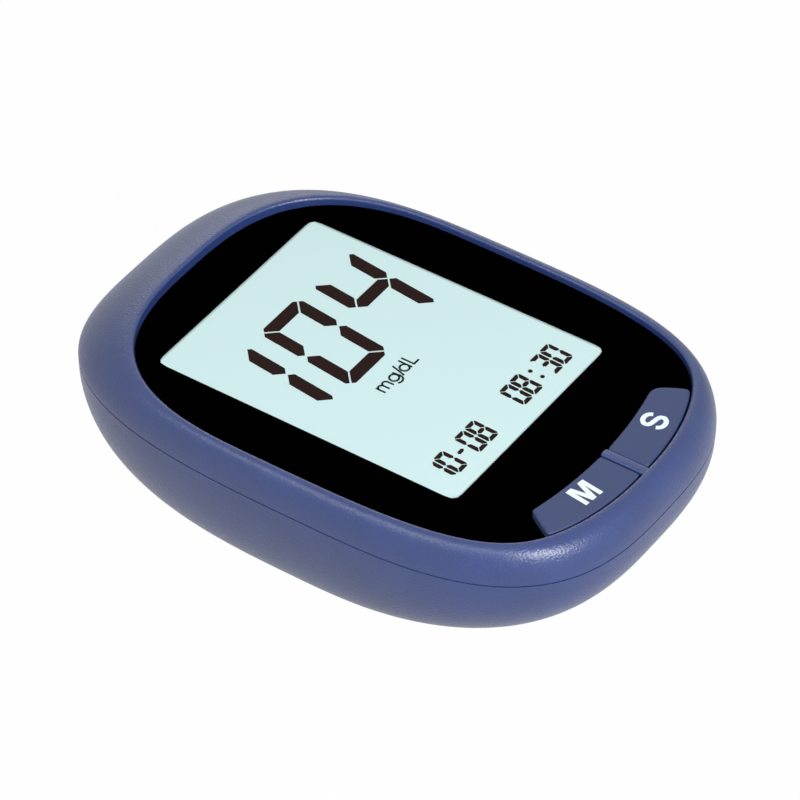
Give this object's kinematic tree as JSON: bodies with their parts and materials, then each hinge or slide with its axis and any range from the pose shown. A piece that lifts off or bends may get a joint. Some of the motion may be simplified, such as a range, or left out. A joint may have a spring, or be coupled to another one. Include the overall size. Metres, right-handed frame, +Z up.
{
  "type": "blood glucose meter",
  "caption": "Pocket blood glucose meter: egg-shaped two-part casing, large display under a lens, two curved keys, strip port and a hinged battery door.",
  "frame": {"origin": "middle of the casing's outline, on the flat underside it lies on", "axes": "+Z up out of the display, +Y along the length towards the test strip port, +X to the right of a user whose keys are at the near end"},
  "size_m": [0.06, 0.0892, 0.0219],
  "materials": {
    "casing_blue": "fine spark-eroded texture, satin sheen",
    "key_blue": "smooth satin with white legends",
    "lens_clear": "clear acrylic",
    "mask_black": "black screen print",
    "display_film": "pale green-grey film",
    "display_glass": "clear",
    "segment_dark": "dark brown-black",
    "frame_white": "moulded white",
    "strip_rubber": "banded silicone rubber",
    "board_green": "solder resist on glass fibre",
    "part_black": "moulded black",
    "plunger_cream": "moulded",
    "port_dark": "moulded, satin",
    "contact_gold": "gold flashed",
    "tinned_metal": "tinned",
    "ceramic_tan": "fired",
    "cell_sleeve": "shrink sleeve on a steel can",
    "spring_steel": "nickel plated",
    "screw_steel": "zinc plated"
  },
  "bodies": {
    "casing": {"upper_housing": "casing_blue", "lower_housing": "casing_blue", "display_lens": "lens_clear", "lens_mask": "mask_black", "front_polarizer": "display_film", "front_glass": "display_glass", "rear_glass": "display_glass", "rear_reflector": "display_film", "display_segments": "segment_dark", "display_frame": "frame_white", "contact_strip_far": "strip_rubber", "contact_strip_near": "strip_rubber", "circuit_board": "board_green", "memory_switch": "part_black", "set_switch": "part_black", "strip_guide": "port_dark", "strip_connector": "part_black", "strip_contacts": "contact_gold", "controller_chip": "part_black", "memory_chip": "part_black", "chip_leads": "tinned_metal", "clock_crystal": "tinned_metal", "capacitors": "ceramic_tan", "resistors": "part_black", "buzzer": "part_black", "battery_left": "cell_sleeve", "battery_right": "cell_sleeve", "battery_springs": "spring_steel", "link_plate": "spring_steel", "positive_contact": "spring_steel", "negative_contact": "spring_steel", "case_screws": "screw_steel", "board_screws": "screw_steel"},
    "memory_button": {"memory_key": "key_blue", "memory_plunger": "plunger_cream"},
    "set_button": {"set_key": "key_blue", "set_plunger": "plunger_cream"},
    "battery_cover": {"battery_door": "casing_blue"},
    "latch_tongue": {"door_latch": "casing_blue"}
  },
  "joints": [
    {"name": "memory_press", "type": "slide", "parent": "casing", "child": "memory_button", "axis": [0, 0, -1], "range_m": [0, 0.0005], "stiffness_N_per_m": 3000},
    {"name": "set_press", "type": "slide", "parent": "casing", "child": "set_button", "axis": [0, 0, -1], "range_m": [0, 0.0005], "stiffness_N_per_m": 3000},
    {"name": "door_swing", "type": "hinge", "parent": "casing", "child": "battery_cover", "pos_m": [0, 0.0285, 0], "axis": [1, 0, 0], "range_deg": [0, 75]},
    {"name": "latch_bend", "type": "slide", "parent": "battery_cover", "child": "latch_tongue", "axis": [0, 1, 0], "range_m": [0, 0.0012], "stiffness_N_per_m": 2000}
  ]
}
